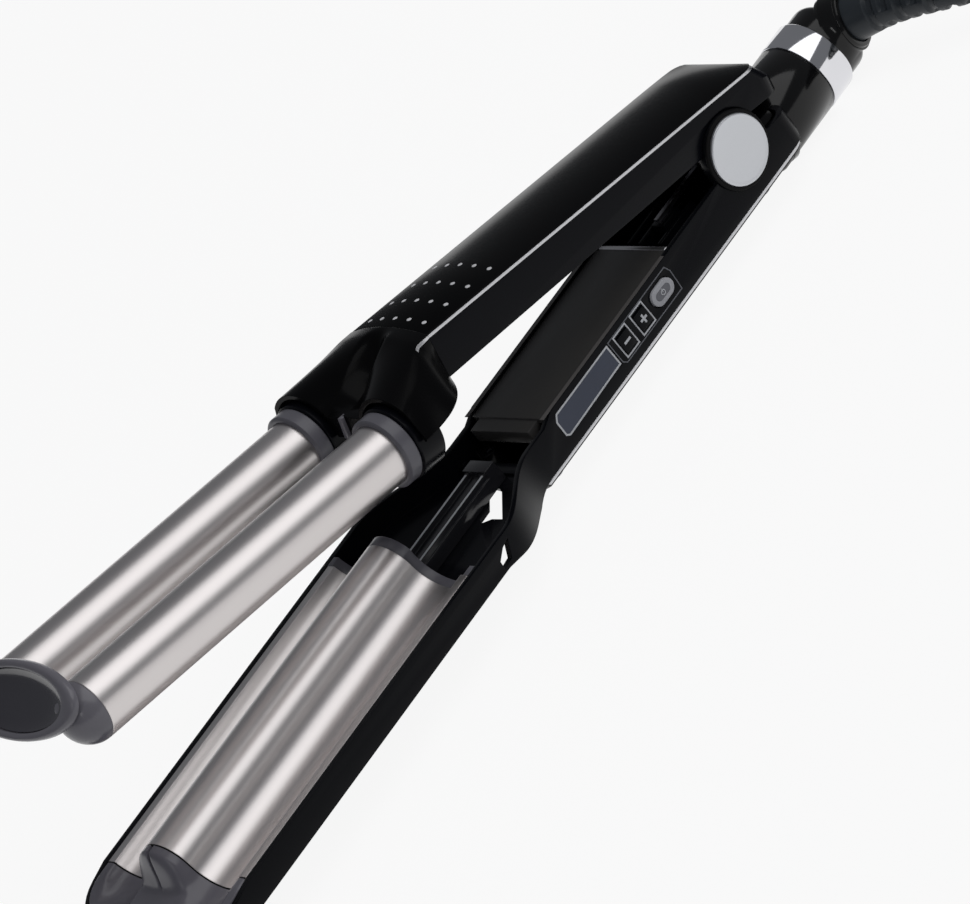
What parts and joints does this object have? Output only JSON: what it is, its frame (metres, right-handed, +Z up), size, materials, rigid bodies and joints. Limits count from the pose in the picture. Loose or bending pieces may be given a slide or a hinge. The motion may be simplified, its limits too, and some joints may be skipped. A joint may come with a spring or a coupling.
{
  "type": "hair waver",
  "caption": "Two-arm hair waver: twin round barrels on the upper arm close into a waved plate on the lower arm, with buttons on the side and a swivelling cord.",
  "frame": {"origin": "middle of the bounding box of the tool without its cord, on the surface that it lies on", "axes": "+X runs from the barrel tips to the cord, -Y is the side with the controls, +Z is up from the lower arm to the upper arm"},
  "size_m": [0.5045, 0.1205, 0.109],
  "materials": {
    "gloss_black": "gloss",
    "satin_black": "satin",
    "matte_liner": "matte",
    "tip_grey": "satin",
    "ring_grey": "satin",
    "titanium": "satin",
    "silver_trim": "satin",
    "chrome": "polished",
    "steel": "satin",
    "brass": "polished",
    "ceramic": "matte",
    "display": "gloss",
    "board_green": "satin",
    "cord_rubber": "matte",
    "boot_rubber": "matte"
  },
  "bodies": {
    "lower_arm": {"lower_frame": "satin_black", "lower_cover": "gloss_black", "lower_trim": "silver_trim", "lower_liner": "matte_liner", "liner_bar": "silver_trim", "neck_bracket": "satin_black", "head_shell": "gloss_black", "wave_plate": "titanium", "plate_band": "ring_grey", "plate_heater": "ceramic", "lower_tip_cap": "tip_grey", "display_window": "display", "display_module": "display", "panel_bezel": "silver_trim", "circuit_board": "board_green", "tact_switches": "satin_black", "tail_collar": "gloss_black", "chrome_ring": "chrome", "case_screws": "steel", "hinge_pin": "steel", "hinge_discs": "silver_trim", "hinge_rings": "satin_black", "opening_spring": "steel", "spring_bracket": "satin_black"},
    "upper_arm": {"upper_frame": "satin_black", "upper_cover": "gloss_black", "upper_trim": "silver_trim", "vent_dots": "silver_trim", "upper_liner": "matte_liner", "upper_head": "gloss_black", "barrel_near": "titanium", "barrel_far": "titanium", "barrel_rings": "ring_grey", "barrel_heaters": "ceramic", "tip_paddle": "tip_grey"},
    "power_button_body": {"power_button": "silver_trim"},
    "plus_button_body": {"plus_button": "satin_black"},
    "minus_button_body": {"minus_button": "satin_black"},
    "cord_end": {"swivel_knuckle": "gloss_black", "cable_boot": "boot_rubber", "cord": "cord_rubber", "cord_coil": "cord_rubber", "plug_body": "cord_rubber", "plug_pins": "brass"}
  },
  "joints": [
    {"name": "arm_close", "type": "hinge", "parent": "lower_arm", "child": "upper_arm", "pos_m": [0.1137, 0, 0.0274], "axis": [0, -1, 0], "range_deg": [0, 12.2], "stiffness_Nm_per_rad": 1.5, "springref_deg": -28.65},
    {"name": "power_press", "type": "slide", "parent": "lower_arm", "child": "power_button_body", "axis": [0, 1, 0], "range_m": [0, 0.0008], "stiffness_N_per_m": 400, "springref_m": -0.001},
    {"name": "plus_press", "type": "slide", "parent": "lower_arm", "child": "plus_button_body", "axis": [0, 1, 0], "range_m": [0, 0.0008], "stiffness_N_per_m": 400, "springref_m": -0.001},
    {"name": "minus_press", "type": "slide", "parent": "lower_arm", "child": "minus_button_body", "axis": [0, 1, 0], "range_m": [0, 0.0008], "stiffness_N_per_m": 400, "springref_m": -0.001},
    {"name": "cord_swivel", "type": "hinge", "parent": "lower_arm", "child": "cord_end", "pos_m": [0.1637, 0, 0.0136], "axis": [1, 0, 0], "continuous": true}
  ]
}
